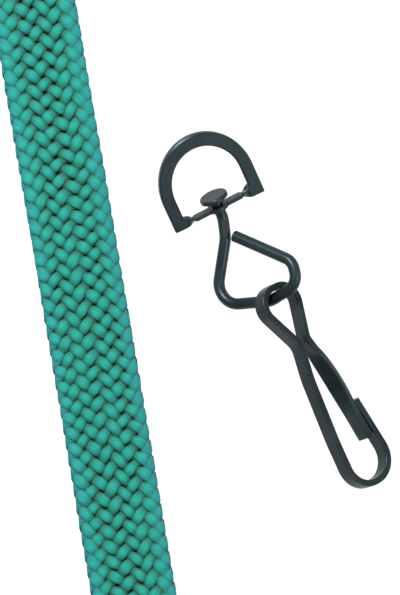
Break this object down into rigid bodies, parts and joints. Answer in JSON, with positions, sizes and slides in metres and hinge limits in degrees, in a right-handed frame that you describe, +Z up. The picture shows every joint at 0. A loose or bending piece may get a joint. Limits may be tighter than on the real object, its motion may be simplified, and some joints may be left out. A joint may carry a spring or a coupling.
{
  "type": "braided neck lanyard",
  "caption": "Flat braided neck lanyard with a folded crimp and a swivelling D-ring and spring hook set in blackened steel.",
  "frame": {"origin": "on the surface that the lanyard lies on, under the middle of the hook set", "axes": "+Z up from that surface, +Y along the hook set from the spring hook to the D-ring, +X across it away from the strap"},
  "size_m": [0.1075, 0.1846, 0.0111],
  "materials": {
    "strap_braid": "teal green flat tubular braid, matt with a soft sheen",
    "black_steel": "black oxide on steel, satin, a little worn on the edges"
  },
  "bodies": {
    "strap": {"strap_run": "strap_braid", "strap_twist": "strap_braid", "strap_coil": "strap_braid", "strap_end_eye": "strap_braid", "strap_crimp": "black_steel"},
    "ring": {"d_ring": "black_steel"},
    "swivel": {"swivel_eye": "black_steel"},
    "hook": {"hook_body": "black_steel"},
    "gate": {"hook_gate": "black_steel"}
  },
  "joints": [
    {"name": "hook_set_lift", "type": "slide", "parent": "strap", "child": "ring", "axis": [0, 0, 1], "range_m": [0, 0.04]},
    {"name": "swivel_spin", "type": "hinge", "parent": "ring", "child": "swivel", "pos_m": [-0.00674, 0.01244, 0.00215], "axis": [-0.3829, 0.8288, 0.4079], "continuous": true},
    {"name": "hook_swing", "type": "hinge", "parent": "swivel", "child": "hook", "pos_m": [-0.00006, 0.00129, 0.00451], "axis": [0.7411, 0.4746, 0.475], "range_deg": [-30, 30]},
    {"name": "gate_press", "type": "hinge", "parent": "hook", "child": "gate", "pos_m": [0.00432, -0.00496, 0.00352], "axis": [-0.5431, -0.2269, -0.8084], "range_deg": [0, 9], "stiffness_Nm_per_rad": 0.03}
  ]
}
